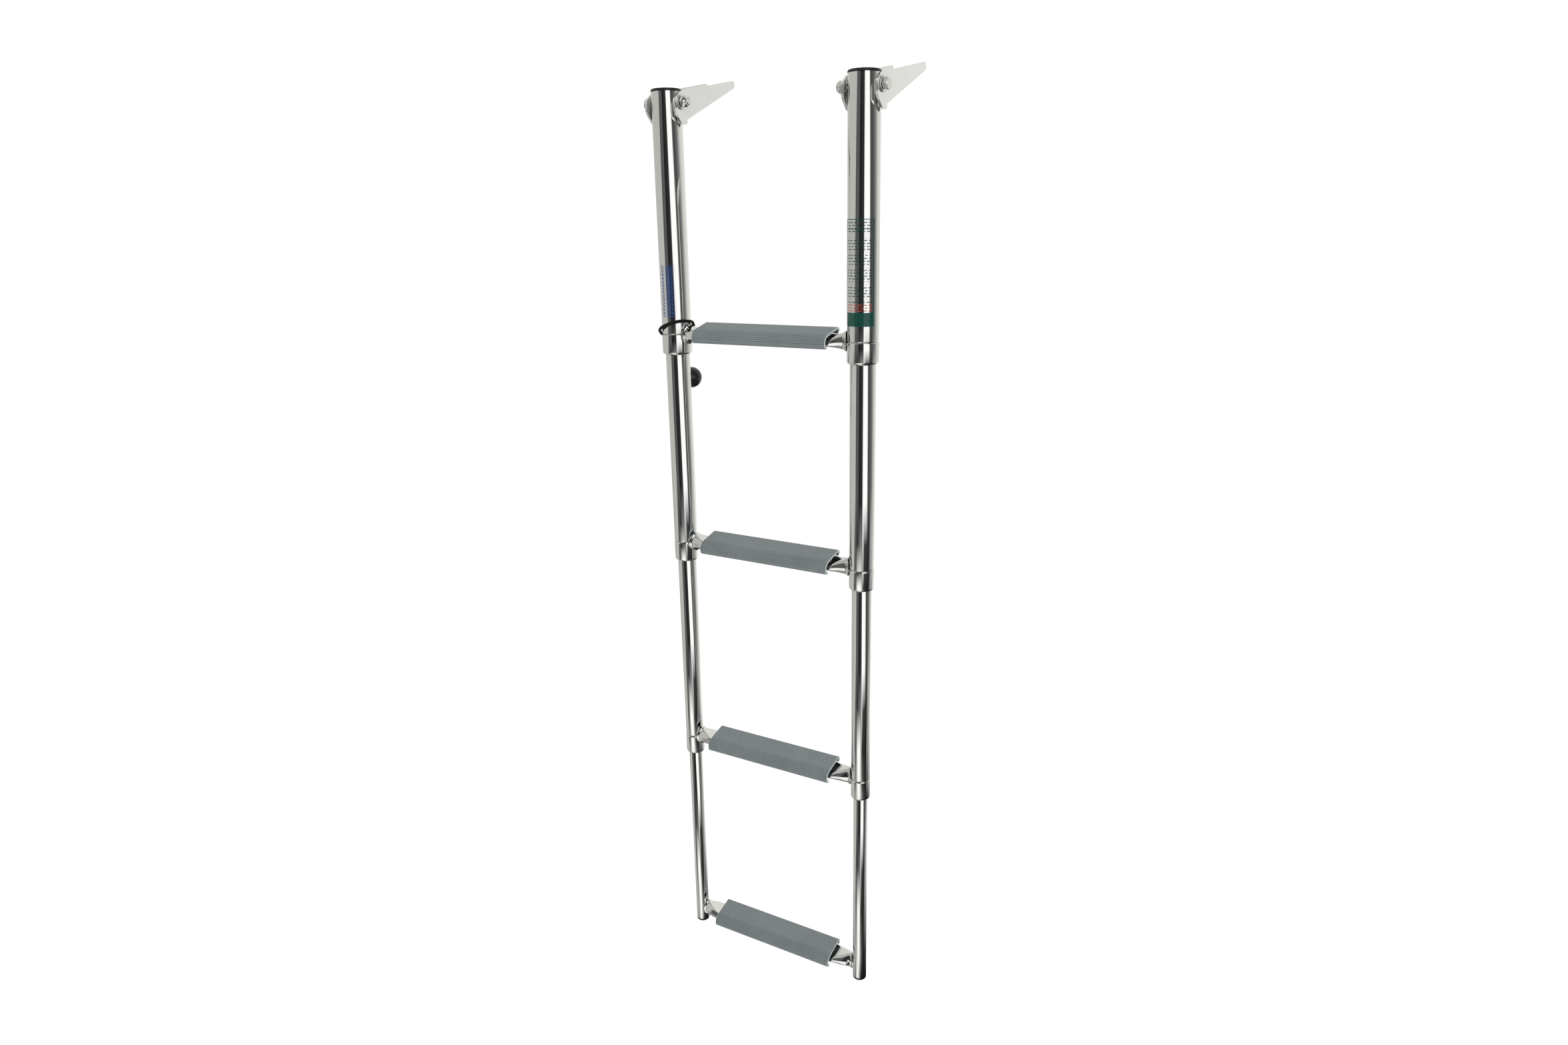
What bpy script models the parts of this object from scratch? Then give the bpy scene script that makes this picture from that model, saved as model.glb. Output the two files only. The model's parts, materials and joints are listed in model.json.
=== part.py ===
"""Four-step telescoping drop ladder for a boat's swim platform.

Frame: X across the ladder, Y from the climber's side towards the boat, Z up the rails.
The origin is midway between the two pivot bolts, on their common axis.
"""
import math

import bmesh
import bpy
from mathutils import Matrix, Vector

MM = 0.001
RAIL_X = 135.8 * MM  # centre line of each rail from the middle

TUBE_R = (19.05 * MM, 15.875 * MM, 12.7 * MM, 9.525 * MM)
WALL = 1.5 * MM
RUNG_Z = (-282.5 * MM, -567.5 * MM, -867.0 * MM, -1165.5 * MM)
RAIL_TOP = 13.0 * MM
TUBE_OVERLAP = 28.0 * MM  # how far an inner tube reaches above the seam it comes out of
FOOT_BELOW = 20.5 * MM  # end of tube 4 below the last rung
RUN_GAP = 0.3 * MM  # gap between pieces that touch

COLLAR_LENGTH = (26.2 * MM, 27.4 * MM, 28.4 * MM)
COLLAR_SWELL = 0.4 * MM
SPIGOT_UP = 7.0 * MM
RING_HEIGHT = 18.0 * MM

RUNG_R = 11.1 * MM
RUNG_WALL = 1.5 * MM
RUNG_FLAT = 8.4 * MM
RUNG_RISE = -0.2 * MM
FLAT_FROM = 95.0 * MM
WELD_SWELL = 1.5 * MM

TREAD_HALF = 96.2 * MM
TREAD_TILT = math.radians(13.7)
TREAD_WALL = 2.6 * MM
TREAD_FRONT = -24.0 * MM
TREAD_BACK = 18.4 * MM
TREAD_TOP = 11.6 * MM
NOSE_R = 10.5 * MM
CURL_R = 4.0 * MM

BOLT_R = 4.0 * MM
BOLT_HOLE_R = 4.3 * MM
HEAD_FLATS = 13.0 * MM
HEAD_HEIGHT = 5.5 * MM
NUT_HEIGHT = 8.0 * MM
WASHER_R = 9.0 * MM
WASHER_T = 1.6 * MM

PLATE = 3.0 * MM
EAR_GAP = 0.6 * MM
WEB_BELOW_PIVOT = 22.6 * MM
WEB_TILT = math.radians(23.1)
BRACKET_REACH = 126.0 * MM
WEB_START = 2.7 * MM
FIXING_HOLE_R = 3.4 * MM
FIXING_AT = (50.0 * MM, 96.0 * MM)

LABEL_LEFT = (21.0 * MM, 89.0 * MM, 35.0)  # low and high edge above rung 1, half its width in degrees
LABEL_RIGHT = (19.0 * MM, 140.0 * MM, 60.0)
LABEL_TURN = -85.0  # middle of each label round its rail, in degrees from +X

BALL_R = 14.0 * MM
BALL_AT = (-5.5 * MM, 37.0 * MM, -63.0 * MM)  # from the left rail's axis at rung 1
BALL_TILT = (-0.45, -0.15, 0.88)  # the way the two strands leave the ball
STRAND_APART = (1.76 * MM, -2.43 * MM)
CORD_R = 2.0 * MM
LOOP_R = TUBE_R[0] + CORD_R + 1.2 * MM

SEGMENTS = 24
NAMES = {-1: "left", 1: "right"}


def clear_scene():
    for obj in list(bpy.data.objects):
        bpy.data.objects.remove(obj, do_unlink=True)


def collection(name):
    made = bpy.data.collections.new(name)
    bpy.context.scene.collection.children.link(made)
    return made


def material(name, color, roughness, metallic=0.0, alpha=1.0):
    mat = bpy.data.materials.new(name)
    mat.use_nodes = True
    shader = mat.node_tree.nodes["Principled BSDF"]
    shader.inputs["Base Color"].default_value = (*color, 1.0)
    shader.inputs["Roughness"].default_value = roughness
    shader.inputs["Metallic"].default_value = metallic
    shader.inputs["Alpha"].default_value = alpha
    mat.diffuse_color = (*color, 1.0)
    return mat


def add(name, mesh, mat, where=None):
    obj = bpy.data.objects.new(name, mesh)
    (where or PARTS).objects.link(obj)
    if mat:
        mesh.materials.append(mat)
    return obj


def from_bmesh(name, bm, mat, smooth=False, where=None, closed=True):
    bmesh.ops.remove_doubles(bm, verts=bm.verts, dist=0.00001)
    if closed:
        bmesh.ops.recalc_face_normals(bm, faces=bm.faces)
    mesh = bpy.data.meshes.new(name)
    bm.to_mesh(mesh)
    bm.free()
    for face in mesh.polygons:
        face.use_smooth = smooth
    return add(name, mesh, mat, where)


def turned(name, profile, mat, at=(0, 0, 0), steps=SEGMENTS, where=None):
    """A body of revolution about Z. The profile is (radius, height), top to bottom on its outside."""
    mesh = bpy.data.meshes.new(name)
    count = len(profile)
    closed = all(radius > 0 for radius, _ in profile)
    edges = [(k, k + 1) for k in range(count - 1)]
    if closed:
        edges.append((count - 1, 0))
    mesh.from_pydata([(radius, 0.0, height) for radius, height in profile], edges, [])
    obj = add(name, mesh, mat, where)
    obj.location = at
    screw = obj.modifiers.new("Turn", "SCREW")
    screw.steps = steps
    screw.render_steps = steps
    screw.use_merge_vertices = True
    screw.merge_threshold = 0.00001
    screw.use_smooth_shade = True
    return obj


def arc(cx, cy, radius, start, end, count):
    """Points on an arc, angles in degrees."""
    points = []
    for k in range(count + 1):
        angle = math.radians(start + (end - start) * k / count)
        points.append((cx + radius * math.cos(angle), cy + radius * math.sin(angle)))
    return points


def rounded(corners, steps=4):
    """An outline of (u, v, corner radius) with its corners rounded."""
    outline = []
    count = len(corners)
    for k, (u, v, radius) in enumerate(corners):
        here = Vector((u, v))
        if radius <= 0:
            outline.append(here)
            continue
        before = Vector(corners[k - 1][:2]) - here
        after = Vector(corners[(k + 1) % count][:2]) - here
        half = before.angle(after) / 2
        cut = radius / math.tan(half)
        start = here + before.normalized() * cut
        end = here + after.normalized() * cut
        centre = here + (before.normalized() + after.normalized()).normalized() * (radius / math.sin(half))
        from_centre = start - centre
        turn = from_centre.angle_signed(end - centre)
        for step in range(steps + 1):
            spin = Matrix.Rotation(-turn * step / steps, 2)
            outline.append(centre + spin @ from_centre)
    return outline


def slab(name, outline, low, high, axis, mat, where=None):
    """A flat outline given thickness: axis X takes (y, z) points, axis Z takes (x, y) points."""
    bm = bmesh.new()
    if axis == "X":
        verts = [bm.verts.new((low, u, v)) for u, v in outline]
        move = Vector((high - low, 0, 0))
    else:
        verts = [bm.verts.new((u, v, low)) for u, v in outline]
        move = Vector((0, 0, high - low))
    face = bm.faces.new(verts)
    moved = bmesh.ops.extrude_face_region(bm, geom=[face])
    bmesh.ops.translate(bm, verts=[g for g in moved["geom"] if isinstance(g, bmesh.types.BMVert)], vec=move)
    return from_bmesh(name, bm, mat, where=where)


def rod(name, radius, start, end, mat=None, steps=24, where=None):
    """A plain round rod between two points."""
    start = Vector(start)
    end = Vector(end)
    bm = bmesh.new()
    length = (end - start).length
    bmesh.ops.create_cone(bm, cap_ends=True, segments=steps, radius1=radius, radius2=radius, depth=length)
    turn = Vector((0, 0, 1)).rotation_difference(end - start).to_matrix().to_4x4()
    bmesh.ops.transform(bm, matrix=Matrix.Translation((start + end) / 2) @ turn, verts=bm.verts)
    return from_bmesh(name, bm, mat, where=where)


def cut(obj, cutter, operation="DIFFERENCE"):
    boolean = obj.modifiers.new(cutter.name, "BOOLEAN")
    boolean.operation = operation
    boolean.solver = "EXACT"
    boolean.object = cutter


def hide_cutters():
    for obj in CUTTERS.objects:
        obj.hide_render = True
        obj.display_type = "WIRE"


def rail_tube(side, level):
    """One rail tube, with its lower edge rounded towards the seam groove."""
    radius = TUBE_R[level]
    if level == 0:
        top = RAIL_TOP
    else:
        top = RUNG_Z[level - 1] + TUBE_OVERLAP
    bottom = RUNG_Z[level] + RUN_GAP / 2
    if level == 3:
        bottom = RUNG_Z[3] - FOOT_BELOW
    ease = 0.7 * MM
    profile = [
        (radius - ease / 2, top),
        (radius, top - ease / 2),
        (radius, bottom + 1.4 * ease),
        (radius - ease, bottom),
        (radius - WALL, bottom),
        (radius - WALL, top),
    ]
    tube = turned(f"rail_{level + 1}_{NAMES[side]}", profile, STEEL, (side * RAIL_X, 0, 0))
    if level == 0:
        bore = rod(
            f"pivot_bore_{NAMES[side]}", BOLT_HOLE_R,
            (side * RAIL_X - 0.03, 0, 0), (side * RAIL_X + 0.03, 0, 0), where=CUTTERS,
        )
        cut(tube, bore)
    return tube


def collar(side, level):
    """The end ring under a tube: a spigot inside it, a grooved shoulder and a rounded lower lip."""
    outer = TUBE_R[level] + COLLAR_SWELL
    spigot = TUBE_R[level] - WALL - RUN_GAP
    bore = TUBE_R[level + 1] + 0.32 * MM
    length = COLLAR_LENGTH[level]
    top = -RUN_GAP / 2
    profile = [(spigot, SPIGOT_UP), (spigot, top)]
    profile += [(outer - 1.3 * MM, top), (outer - 0.4 * MM, top - 0.6 * MM), (outer, top - 1.8 * MM)]
    lip = 3.0 * MM
    profile += arc(outer - lip, lip - length, lip, 0, -75, 3)
    profile += [(bore, -length), (bore, SPIGOT_UP)]
    return turned(
        f"collar_{level + 1}_{NAMES[side]}", profile, STEEL, (side * RAIL_X, 0, RUNG_Z[level]),
    )


def guide_ring(side, level):
    """The plastic ring round the top of an inner tube; it runs in the tube above."""
    outer = TUBE_R[level - 1] - WALL - RUN_GAP
    bore = TUBE_R[level] + RUN_GAP
    top = TUBE_OVERLAP - 1.0 * MM
    bottom = top - RING_HEIGHT
    profile = [(outer, top), (outer, bottom), (bore, bottom), (bore, top)]
    return turned(
        f"guide_ring_{level + 1}_{NAMES[side]}", profile, NYLON, (side * RAIL_X, 0, RUNG_Z[level - 1]),
    )


def top_cap(side):
    plug = TUBE_R[0] - WALL - RUN_GAP
    rim = TUBE_R[0] + 0.25 * MM
    seat = RUN_GAP
    profile = [(0, 4.2 * MM), (9 * MM, 4.0 * MM), (14.5 * MM, 3.4 * MM)]
    profile += arc(rim - 2.4 * MM, seat + 0.6 * MM, 2.4 * MM, 70, 0, 4)
    profile += [(rim, seat), (plug, seat), (plug, -5.5 * MM), (plug - 1 * MM, -6.5 * MM), (0, -6.5 * MM)]
    return turned(f"top_cap_{NAMES[side]}", profile, BLACK, (side * RAIL_X, 0, RAIL_TOP))


def foot_plug(side):
    plug = TUBE_R[3] - WALL - RUN_GAP
    rim = TUBE_R[3] - 0.1 * MM
    profile = [(0, 9 * MM), (plug - 1 * MM, 9 * MM), (plug, 8 * MM), (plug, -RUN_GAP)]
    profile += [(rim, -RUN_GAP), (rim, -1.6 * MM), (rim - 1.2 * MM, -2.8 * MM), (0, -3.0 * MM)]
    end = RUNG_Z[3] - FOOT_BELOW
    return turned(f"foot_plug_{NAMES[side]}", profile, BLACK, (side * RAIL_X, 0, end))


def smooth(value):
    value = min(1.0, max(0.0, value))
    return value * value * (3 - 2 * value)


def rung(level):
    """A round tube pressed flat between the rails, its ends shaped to the rails they are welded to."""
    seat = TUBE_R[level] + RUN_GAP + 0.85 * MM
    if level < 3:
        seat += COLLAR_SWELL
    end_half = min(RUNG_R, seat * 0.68)
    reach = RAIL_X - seat
    weld_from = reach - 3.0 * MM
    stations = [FLAT_FROM + (weld_from - FLAT_FROM) * k / 5 for k in range(6)]
    stations += [reach - 1.4 * MM, reach]
    sections = [-x for x in reversed(stations)] + stations
    count = 20
    bm = bmesh.new()
    rings = []
    for x in sections:
        ring = bmesh.ops.create_circle(bm, segments=count, radius=RUNG_R)["verts"]
        rings.append(ring)
        flat = min(1.0, max(0.0, (weld_from - abs(x)) / (weld_from - FLAT_FROM)))
        half_t = RUNG_R + (RUNG_FLAT / 2 - RUNG_R) * flat
        half_w = (2 * math.pi * RUNG_R - 2 * math.pi * half_t) / 4
        weld = smooth((abs(x) - weld_from) / (1.6 * MM))
        spread = 1 + (end_half / RUNG_R - 1) * smooth((abs(x) - 110 * MM) / (reach - 110 * MM))
        for k, vert in enumerate(ring):
            angle = 2 * math.pi * k / count
            y = half_t * math.cos(angle) + math.copysign(half_w, math.cos(angle))
            z = half_t * math.sin(angle)
            if half_w < 1e-6:
                y = half_t * math.cos(angle)
            grow = 1 + weld * WELD_SWELL / RUNG_R
            y *= grow * spread
            z *= grow
            tilt = TREAD_TILT * flat
            turned_y = y * math.cos(tilt) - z * math.sin(tilt)
            turned_z = y * math.sin(tilt) + z * math.cos(tilt)
            near = math.sqrt(max(seat * seat - turned_y * turned_y, (0.25 * seat) ** 2))
            edge = smooth((abs(x) - 104 * MM) / (reach - 104 * MM))
            along = abs(x) + (seat - near) * edge
            vert.co = (math.copysign(along, x), turned_y, turned_z + RUNG_RISE * flat)
    for first, second in zip(rings, rings[1:]):
        for k in range(count):
            after = (k + 1) % count
            bm.faces.new((first[k], first[after], second[after], second[k]))
    obj = from_bmesh(f"rung_{level + 1}", bm, STEEL, smooth=True, closed=False)
    obj.location = (0, 0, RUNG_Z[level])
    wall = obj.modifiers.new("Wall", "SOLIDIFY")
    wall.thickness = RUNG_WALL
    wall.offset = -1.0
    wall.use_even_offset = True
    return obj


def tread(level):
    """The plastic profile round a flattened rung, with a broad nose and a curl over its back edge."""
    half_wall = TREAD_WALL / 2
    nose = NOSE_R - half_wall
    curl = CURL_R - half_wall
    nose_y = TREAD_FRONT + NOSE_R
    nose_z = TREAD_TOP - NOSE_R
    middle = [
        (nose_y - 5.0 * MM, nose_z - 3.8 * MM),
        (nose_y - 6.2 * MM, nose_z - 4.4 * MM),
        (nose_y - 7.7 * MM, nose_z - 3.9 * MM),
    ]
    middle += arc(nose_y, nose_z, nose, 197, 90, 12)
    middle += arc(TREAD_BACK - CURL_R, TREAD_TOP - CURL_R, curl, 90, -95, 8)
    outer = []
    inner = []
    for k, (y, z) in enumerate(middle):
        before = Vector(middle[max(k - 1, 0)])
        after = Vector(middle[min(k + 1, len(middle) - 1)])
        along = (after - before).normalized()
        side = Vector((-along.y, along.x)) * half_wall
        outer.append((y + side.x, z + side.y))
        inner.append((y - side.x, z - side.y))
    obj = slab(
        f"tread_{level + 1}", outer + inner[::-1], -TREAD_HALF, TREAD_HALF, "X", GREY_PLASTIC,
    )
    obj.location = (0, 0, RUNG_Z[level])
    obj.rotation_euler = (TREAD_TILT, 0, 0)
    return obj


def bracket(side):
    """Bent plate: a flat web on the platform and two tapered ears either side of the rail tube."""
    name = f"bracket_{NAMES[side]}"
    inner = TUBE_R[0] + EAR_GAP
    outer = inner + PLATE
    low = -WEB_BELOW_PIVOT
    ear_outline = rounded([
        (3.0 * MM, low + 34.6 * MM, 9 * MM),
        (-11.5 * MM, low + 31.0 * MM, 8 * MM),
        (-17.8 * MM, low + 19.0 * MM, 16 * MM),
        (-9.5 * MM, low - 1.5 * MM, 12 * MM),
        (-1.5 * MM, low - 4.6 * MM, 1.2 * MM),
        (WEB_START - 0.3 * MM, low - 3.0 * MM, 1.0 * MM),
        (WEB_START - 0.3 * MM, low, 1.4 * MM),
        (BRACKET_REACH - 3 * MM, low, 2.4 * MM),
        (BRACKET_REACH, low + 3.2 * MM, 1.5 * MM),
        (BRACKET_REACH, low + 8.8 * MM, 3.5 * MM),
    ], 7)
    body = slab(name, ear_outline, -outer, outer, "X", STEEL)
    body.location = (side * RAIL_X, 0, 0)
    body.rotation_euler = (WEB_TILT, 0, 0)

    half_cut = inner - 3.2 * MM
    cradle = [(-inner, -0.05), (-inner, WEB_START), (-half_cut, WEB_START)]
    for k in range(1, 26):
        angle = math.pi * (1 - k / 26)
        cradle.append((half_cut * math.cos(angle), WEB_START + 13.2 * MM * math.sin(angle)))
    cradle += [(half_cut, WEB_START), (inner, WEB_START), (inner, -0.05)]
    throat = slab(f"{name}_throat", cradle, -0.05, 0.05, "Z", None, CUTTERS)
    channel = slab(
        f"{name}_channel",
        [(-0.06, low + PLATE), (0.2, low + PLATE), (0.2, 0.06), (-0.06, 0.06)],
        -inner, inner, "X", None, CUTTERS,
    )
    bolt_hole = rod(f"{name}_bolt_hole", BOLT_HOLE_R, (-0.04, 0, 0), (0.04, 0, 0), where=CUTTERS)
    tools = [throat, channel, bolt_hole]
    for k, place in enumerate(FIXING_AT):
        tools.append(rod(
            f"{name}_fixing_hole_{k + 1}", FIXING_HOLE_R, (0, place, low - 0.01), (0, place, low + 0.01),
            where=CUTTERS,
        ))
    for tool in tools:
        tool.location = body.location
        tool.rotation_euler = body.rotation_euler
        cut(body, tool)
    return body


def hexagon(flats):
    return [(flats / 2 / math.cos(math.pi / 6) * math.cos(math.pi * k / 3 + math.pi / 6),
             flats / 2 / math.cos(math.pi / 6) * math.sin(math.pi * k / 3 + math.pi / 6)) for k in range(6)]


def pivot(side):
    """Bolt head outboard, lock nut inboard, a flat washer under each."""
    spot = (side * RAIL_X, 0, 0)
    face = TUBE_R[0] + EAR_GAP + PLATE + RUN_GAP
    seat = face + WASHER_T + RUN_GAP
    name = NAMES[side]
    tip = seat + NUT_HEIGHT + RUN_GAP + 0.6 * MM

    shank = [(0, seat + 1 * MM), (BOLT_R, seat + 1 * MM)]
    shank += [(BOLT_R, -tip + 0.8 * MM), (BOLT_R - 0.8 * MM, -tip), (0, -tip)]
    head_r = HEAD_FLATS / 2
    corner = head_r / math.cos(math.pi / 6)
    dome = [(0, seat + HEAD_HEIGHT), (head_r, seat + HEAD_HEIGHT), (corner, seat + HEAD_HEIGHT - 1.0 * MM)]
    dome += [(corner, seat), (0, seat)]
    bolt = slab(f"pivot_bolt_{name}", hexagon(HEAD_FLATS), seat, seat + HEAD_HEIGHT, "Z", STEEL)
    limit = turned(f"bolt_head_form_{name}", dome, None, where=CUTTERS)
    stem = turned(f"bolt_shank_{name}", shank, None, where=CUTTERS)
    cut(bolt, limit, "INTERSECT")
    cut(bolt, stem, "UNION")

    nut = slab(f"lock_nut_{name}", hexagon(HEAD_FLATS), -seat - NUT_HEIGHT, -seat, "Z", STEEL)
    crown = [(0, -seat), (corner, -seat), (corner, -seat - NUT_HEIGHT + 3.2 * MM)]
    crown += [(head_r, -seat - NUT_HEIGHT + 2.0 * MM), (BOLT_R + 1.4 * MM, -seat - NUT_HEIGHT)]
    crown += [(0, -seat - NUT_HEIGHT)]
    nut_form = turned(f"lock_nut_form_{name}", crown, None, where=CUTTERS)
    thread = rod(f"lock_nut_bore_{name}", BOLT_R + RUN_GAP, (0, 0, -0.06), (0, 0, 0.0), where=CUTTERS)
    cut(nut, nut_form, "INTERSECT")
    cut(nut, thread)

    washers = []
    for place, low in (("head", face), ("nut", -face - WASHER_T)):
        ring = [(WASHER_R - 0.2 * MM, low + WASHER_T), (WASHER_R, low + WASHER_T - 0.2 * MM)]
        ring += [(WASHER_R, low + 0.2 * MM), (WASHER_R - 0.2 * MM, low)]
        ring += [(BOLT_R + RUN_GAP, low), (BOLT_R + RUN_GAP, low + WASHER_T)]
        washers.append(turned(f"washer_{place}_{name}", ring, STEEL))
    for obj in (bolt, limit, stem, nut, nut_form, thread, *washers):
        obj.location = spot
        obj.rotation_euler = (0, side * math.pi / 2, 0)


def label(side, low, high, half):
    """Thin clear film wrapped round the climber's side of a rail."""
    inside = TUBE_R[0] + 0.06 * MM
    outside = inside + 0.16 * MM
    first = LABEL_TURN - half
    last = LABEL_TURN + half
    steps = round(half / 2.5)
    outline = arc(0, 0, outside, first, last, steps) + arc(0, 0, inside, last, first, steps)
    film = slab(f"label_{NAMES[side]}", outline, low, high, "Z", FILM)
    film.location = (side * RAIL_X, 0, RUNG_Z[0])


def spline(points, steps):
    """A smooth curve through the points, as closely spaced places on it."""
    padded = [points[0] * 2 - points[1], *points, points[-1] * 2 - points[-2]]
    placed = []
    for k in range(1, len(padded) - 2):
        p0, p1, p2, p3 = padded[k - 1:k + 3]
        for step in range(steps):
            t = step / steps
            placed.append(0.5 * (
                p1 * 2 + (p2 - p0) * t + (p0 * 2 - p1 * 5 + p2 * 4 - p3) * t ** 2
                + (p1 * 3 - p0 - p2 * 3 + p3) * t ** 3
            ))
    placed.append(points[-1])
    return placed


def round_rail(angle, height):
    """A place on the loop: the angle round the rail from +X in degrees, the height above the seam in mm."""
    angle = math.radians(angle)
    return Vector((LOOP_R * math.cos(angle), LOOP_R * math.sin(angle), height * MM))


def tie_route():
    """The loop lies high at the climber's side and hangs down behind the rail to the ball."""
    ball = Vector(BALL_AT)
    leave = Vector(BALL_TILT).normalized()
    mouth = ball + leave * (BALL_R + RUN_GAP + 0.8 * MM)
    apart = Vector((*STRAND_APART, 0))
    near = mouth + apart
    far = mouth - apart
    route = [near, near + leave * 7 * MM]
    route += [Vector((-1 * MM, 30 * MM, -24 * MM)), Vector((2 * MM, 25 * MM, -9 * MM))]
    for angle, height in ((60, 2), (36, 9), (18, 14), (0, 16.3), (-26, 17.4), (-54, 16.7), (-84, 14),
                          (-114, 9.5), (-144, 4.7), (-168, 0), (-192, -5.5), (-216, -12)):
        route.append(round_rail(angle, height))
    route += [Vector((-17 * MM, 24 * MM, -24 * MM)), far + leave * 7 * MM, far]
    return route


def tie():
    """An elastic cord doubled into a loop: round the left rail above the collar, both ends in a ball."""
    seam = Vector((-RAIL_X, 0, RUNG_Z[0]))
    bm = bmesh.new()
    bmesh.ops.create_uvsphere(bm, u_segments=20, v_segments=12, radius=BALL_R)
    ball = from_bmesh("tie_ball", bm, BLACK_GLOSS, smooth=True)
    ball.location = seam + Vector(BALL_AT)

    curve = bpy.data.curves.new("tie_cord", "CURVE")
    curve.dimensions = "3D"
    curve.bevel_depth = CORD_R
    curve.bevel_resolution = 2
    curve.use_fill_caps = True
    places = spline(tie_route(), 3)
    path = curve.splines.new("POLY")
    path.points.add(len(places) - 1)
    for point, place in zip(path.points, places):
        point.co = (*(place + seam), 1.0)
    cord = bpy.data.objects.new("tie_cord", curve)
    curve.materials.append(RUBBER)
    PARTS.objects.link(cord)


clear_scene()
PARTS = collection("parts")
CUTTERS = collection("cutters")
STEEL = material("polished_stainless", (0.72, 0.72, 0.70), 0.12, 1.0)
GREY_PLASTIC = material("grey_tread_plastic", (0.18, 0.205, 0.21), 0.62)
BLACK = material("black_plastic", (0.02, 0.02, 0.02), 0.45)
BLACK_GLOSS = material("black_ball", (0.02, 0.02, 0.02), 0.25)
RUBBER = material("black_elastic", (0.025, 0.025, 0.025), 0.7)
NYLON = material("white_nylon", (0.8, 0.8, 0.76), 0.5)
FILM = material("clear_film", (0.85, 0.9, 0.88), 0.2, 0.0, 0.35)

for side in (-1, 1):
    for level in range(4):
        rail_tube(side, level)
        if level < 3:
            collar(side, level)
        if level > 0:
            guide_ring(side, level)
    top_cap(side)
    foot_plug(side)
    bracket(side)
    pivot(side)
label(-1, *LABEL_LEFT)
label(1, *LABEL_RIGHT)
for level in range(4):
    rung(level)
    tread(level)
tie()
hide_cutters()
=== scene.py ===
import json
import math

import bmesh
import bpy
from mathutils import Matrix, Vector


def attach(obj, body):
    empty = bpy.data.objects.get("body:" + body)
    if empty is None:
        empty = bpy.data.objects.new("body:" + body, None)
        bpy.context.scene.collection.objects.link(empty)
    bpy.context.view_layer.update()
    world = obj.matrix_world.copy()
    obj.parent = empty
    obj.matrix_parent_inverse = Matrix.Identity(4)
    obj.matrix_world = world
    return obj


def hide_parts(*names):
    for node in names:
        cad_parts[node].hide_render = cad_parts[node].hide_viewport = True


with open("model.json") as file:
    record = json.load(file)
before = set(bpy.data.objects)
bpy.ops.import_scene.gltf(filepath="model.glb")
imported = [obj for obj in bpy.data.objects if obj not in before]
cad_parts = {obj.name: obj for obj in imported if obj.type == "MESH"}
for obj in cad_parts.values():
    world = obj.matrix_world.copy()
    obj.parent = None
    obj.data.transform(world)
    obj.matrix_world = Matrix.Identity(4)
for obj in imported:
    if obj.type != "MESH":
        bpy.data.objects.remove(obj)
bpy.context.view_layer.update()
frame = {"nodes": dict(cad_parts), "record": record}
NODES = frame["nodes"]

MM = 0.001
RAIL_X = 135.8 * MM
RUNG_Z = (-282.5 * MM, -567.5 * MM, -867.0 * MM, -1165.5 * MM)
TUBE_R = (19.05 * MM, 15.875 * MM, 12.7 * MM, 9.525 * MM)
TREAD_TILT = math.radians(13.7)
TREAD_HALF = 96.2 * MM
# Labels on the top tubes: foot and head above the first rung, and half the angle they wrap, in degrees.
LABEL_LEFT = (21.0 * MM, 89.0 * MM, 35.0)
LABEL_RIGHT = (19.0 * MM, 140.0 * MM, 60.0)
# The way both labels face, in degrees from +X.
LABEL_TURN = -85.0


# ---------------------------------------------------------------- materials
class Graph:
    """Short calls for building a node material."""

    def __init__(self, name):
        self.mat = bpy.data.materials.new(name)
        self.mat.use_nodes = True
        self.nodes = self.mat.node_tree.nodes
        self.links = self.mat.node_tree.links
        self.shader = self.nodes["Principled BSDF"]
        self.where = self.nodes.new("ShaderNodeTexCoord").outputs["Object"]

    def node(self, kind, inputs=None, **settings):
        made = self.nodes.new(kind)
        for key, value in settings.items():
            setattr(made, key, value)
        for key, value in (inputs or {}).items():
            self.put(value, made.inputs[key])
        return made

    def put(self, value, socket):
        if isinstance(value, bpy.types.NodeSocket):
            self.links.new(value, socket)
        else:
            socket.default_value = value

    def math(self, operation, a, b=0.0, clamp=False):
        made = self.node("ShaderNodeMath", operation=operation, use_clamp=clamp)
        self.put(a, made.inputs[0])
        self.put(b, made.inputs[1])
        return made.outputs[0]

    def noise(self, scale, detail=4.0, rough=0.55, stretch=None):
        vector = self.where
        if stretch:
            vector = self.node("ShaderNodeMapping", {"Vector": self.where, "Scale": stretch}).outputs[0]
        inputs = {"Vector": vector, "Scale": scale, "Detail": detail, "Roughness": rough}
        return self.node("ShaderNodeTexNoise", inputs).outputs["Fac"]

    def spread(self, value, low, high, to_low, to_high):
        inputs = {"Value": value, "From Min": low, "From Max": high, "To Min": to_low, "To Max": to_high}
        return self.node("ShaderNodeMapRange", inputs).outputs[0]

    def mix(self, factor, first, second):
        made = self.node("ShaderNodeMix", data_type="RGBA")
        self.put(factor, made.inputs[0])
        self.put(first, made.inputs[6])
        self.put(second, made.inputs[7])
        return made.outputs[2]

    def bump(self, height, strength, distance, under=None):
        inputs = {"Height": height, "Strength": strength, "Distance": distance}
        if under is not None:
            inputs["Normal"] = under
        return self.node("ShaderNodeBump", inputs).outputs[0]

    def set(self, **values):
        names = {"color": "Base Color", "rough": "Roughness", "metal": "Metallic", "normal": "Normal",
                 "alpha": "Alpha", "specular": "Specular IOR Level"}
        for key, value in values.items():
            self.put(value, self.shader.inputs[names[key]])
        return self.mat

    def xyz(self):
        return self.node("ShaderNodeSeparateXYZ", {"Vector": self.where}).outputs


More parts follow.
